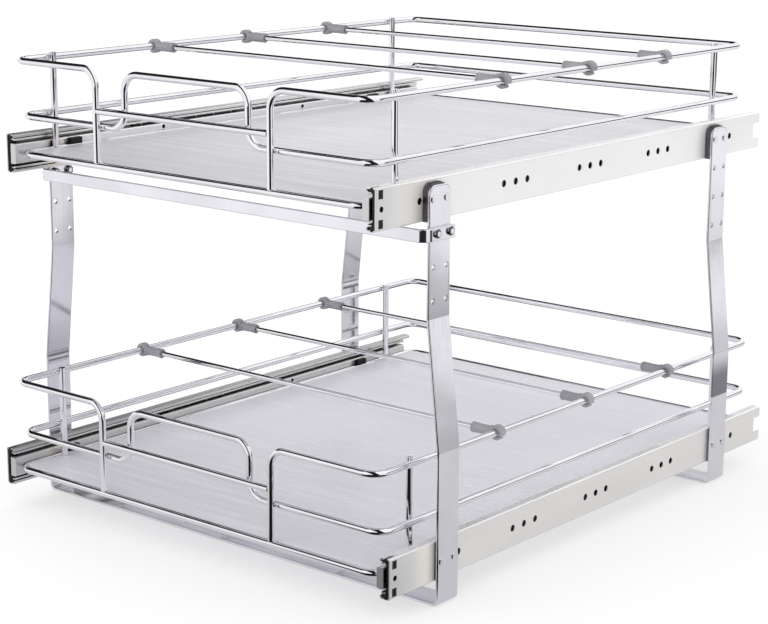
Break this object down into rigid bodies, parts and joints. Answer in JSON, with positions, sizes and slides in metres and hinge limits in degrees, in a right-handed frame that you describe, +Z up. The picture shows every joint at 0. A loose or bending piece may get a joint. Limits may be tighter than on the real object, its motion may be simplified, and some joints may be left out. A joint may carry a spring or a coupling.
{
  "type": "two-tier pull-out cabinet basket",
  "caption": "Chromed wire baskets on telescopic ball-bearing slides in a two-tier floor-mounted frame, with ribbed liners, raised hand grips and sliding divider rods.",
  "frame": {"origin": "middle of the footprint at floor level", "axes": "+Z up; +Y towards the back of the cabinet, the baskets pull out along -Y; +X to the right seen from the front"},
  "size_m": [0.4666, 0.5734, 0.4166],
  "materials": {
    "chrome_strip": "polished",
    "chrome_wire": "polished",
    "zinc_rail": "satin zinc",
    "cage_steel": "satin",
    "ball_steel": "polished",
    "spacer_steel": "satin",
    "fasteners": "polished",
    "black_clip": "matte",
    "liner": "ribbed, satin",
    "divider_clip": "satin"
  },
  "bodies": {
    "frame": {"front_leg_frame": "chrome_strip", "rear_leg_frame": "chrome_strip", "front_tie_bar": "chrome_strip", "tie_bar_screws": "fasteners", "slide_spacers": "spacer_steel", "slide_rivets": "fasteners", "upper_slide_stops": "black_clip", "lower_slide_stops": "black_clip", "upper_left_outer_rail": "zinc_rail", "upper_right_outer_rail": "zinc_rail", "lower_left_outer_rail": "zinc_rail", "lower_right_outer_rail": "zinc_rail"},
    "upper_outer_ball_carriage": {"upper_outer_ball_cages": "cage_steel", "upper_outer_balls": "ball_steel"},
    "upper_middle_slide": {"upper_left_middle_rail": "zinc_rail", "upper_right_middle_rail": "zinc_rail"},
    "upper_inner_ball_carriage": {"upper_inner_ball_cages": "cage_steel", "upper_inner_balls": "ball_steel"},
    "upper_basket": {"upper_left_inner_rail": "zinc_rail", "upper_right_inner_rail": "zinc_rail", "upper_rail_clips": "black_clip", "upper_top_wire": "chrome_wire", "upper_middle_wire": "chrome_wire", "upper_bottom_wire": "chrome_wire", "upper_corner_posts": "chrome_wire", "upper_front_wire": "chrome_wire", "upper_floor_wires": "chrome_wire", "upper_liner": "liner"},
    "upper_front_divider": {"upper_front_divider_rod": "chrome_wire", "upper_front_divider_clips": "divider_clip"},
    "upper_middle_divider": {"upper_middle_divider_rod": "chrome_wire", "upper_middle_divider_clips": "divider_clip"},
    "upper_rear_divider": {"upper_rear_divider_rod": "chrome_wire", "upper_rear_divider_clips": "divider_clip"},
    "lower_outer_ball_carriage": {"lower_outer_ball_cages": "cage_steel", "lower_outer_balls": "ball_steel"},
    "lower_middle_slide": {"lower_left_middle_rail": "zinc_rail", "lower_right_middle_rail": "zinc_rail"},
    "lower_inner_ball_carriage": {"lower_inner_ball_cages": "cage_steel", "lower_inner_balls": "ball_steel"},
    "lower_basket": {"lower_left_inner_rail": "zinc_rail", "lower_right_inner_rail": "zinc_rail", "lower_rail_clips": "black_clip", "lower_top_wire": "chrome_wire", "lower_middle_wire": "chrome_wire", "lower_bottom_wire": "chrome_wire", "lower_corner_posts": "chrome_wire", "lower_front_wire": "chrome_wire", "lower_floor_wires": "chrome_wire", "lower_liner": "liner"},
    "lower_front_divider": {"lower_front_divider_rod": "chrome_wire", "lower_front_divider_clips": "divider_clip"},
    "lower_middle_divider": {"lower_middle_divider_rod": "chrome_wire", "lower_middle_divider_clips": "divider_clip"},
    "lower_rear_divider": {"lower_rear_divider_rod": "chrome_wire", "lower_rear_divider_clips": "divider_clip"}
  },
  "joints": [
    {"name": "upper_basket_pull", "type": "slide", "parent": "frame", "child": "upper_basket", "axis": [0, -1, 0], "range_m": [0, 0.55]},
    {"name": "upper_outer_balls_travel", "type": "slide", "parent": "frame", "child": "upper_outer_ball_carriage", "axis": [0, -1, 0], "range_m": [0, 0.1375]},
    {"name": "upper_middle_slide_travel", "type": "slide", "parent": "frame", "child": "upper_middle_slide", "axis": [0, -1, 0], "range_m": [0, 0.275]},
    {"name": "upper_inner_balls_travel", "type": "slide", "parent": "frame", "child": "upper_inner_ball_carriage", "axis": [0, -1, 0], "range_m": [0, 0.4125]},
    {"name": "upper_front_divider_slide", "type": "slide", "parent": "upper_basket", "child": "upper_front_divider", "axis": [0, 1, 0], "range_m": [-0.105, 0.05]},
    {"name": "upper_middle_divider_slide", "type": "slide", "parent": "upper_basket", "child": "upper_middle_divider", "axis": [0, 1, 0], "range_m": [-0.06, 0.05]},
    {"name": "upper_rear_divider_slide", "type": "slide", "parent": "upper_basket", "child": "upper_rear_divider", "axis": [0, 1, 0], "range_m": [-0.055, 0.08]},
    {"name": "lower_basket_pull", "type": "slide", "parent": "frame", "child": "lower_basket", "axis": [0, -1, 0], "range_m": [0, 0.55]},
    {"name": "lower_outer_balls_travel", "type": "slide", "parent": "frame", "child": "lower_outer_ball_carriage", "axis": [0, -1, 0], "range_m": [0, 0.1375]},
    {"name": "lower_middle_slide_travel", "type": "slide", "parent": "frame", "child": "lower_middle_slide", "axis": [0, -1, 0], "range_m": [0, 0.275]},
    {"name": "lower_inner_balls_travel", "type": "slide", "parent": "frame", "child": "lower_inner_ball_carriage", "axis": [0, -1, 0], "range_m": [0, 0.4125]},
    {"name": "lower_front_divider_slide", "type": "slide", "parent": "lower_basket", "child": "lower_front_divider", "axis": [0, 1, 0], "range_m": [-0.095, 0.06]},
    {"name": "lower_middle_divider_slide", "type": "slide", "parent": "lower_basket", "child": "lower_middle_divider", "axis": [0, 1, 0], "range_m": [-0.055, 0.05]},
    {"name": "lower_rear_divider_slide", "type": "slide", "parent": "lower_basket", "child": "lower_rear_divider", "axis": [0, 1, 0], "range_m": [-0.065, 0.075]}
  ],
  "couplings": [
    {"joint": "upper_outer_balls_travel", "follows": "upper_basket_pull", "ratio": 0.25},
    {"joint": "upper_middle_slide_travel", "follows": "upper_basket_pull", "ratio": 0.5},
    {"joint": "upper_inner_balls_travel", "follows": "upper_basket_pull", "ratio": 0.75},
    {"joint": "lower_outer_balls_travel", "follows": "lower_basket_pull", "ratio": 0.25},
    {"joint": "lower_middle_slide_travel", "follows": "lower_basket_pull", "ratio": 0.5},
    {"joint": "lower_inner_balls_travel", "follows": "lower_basket_pull", "ratio": 0.75}
  ]
}
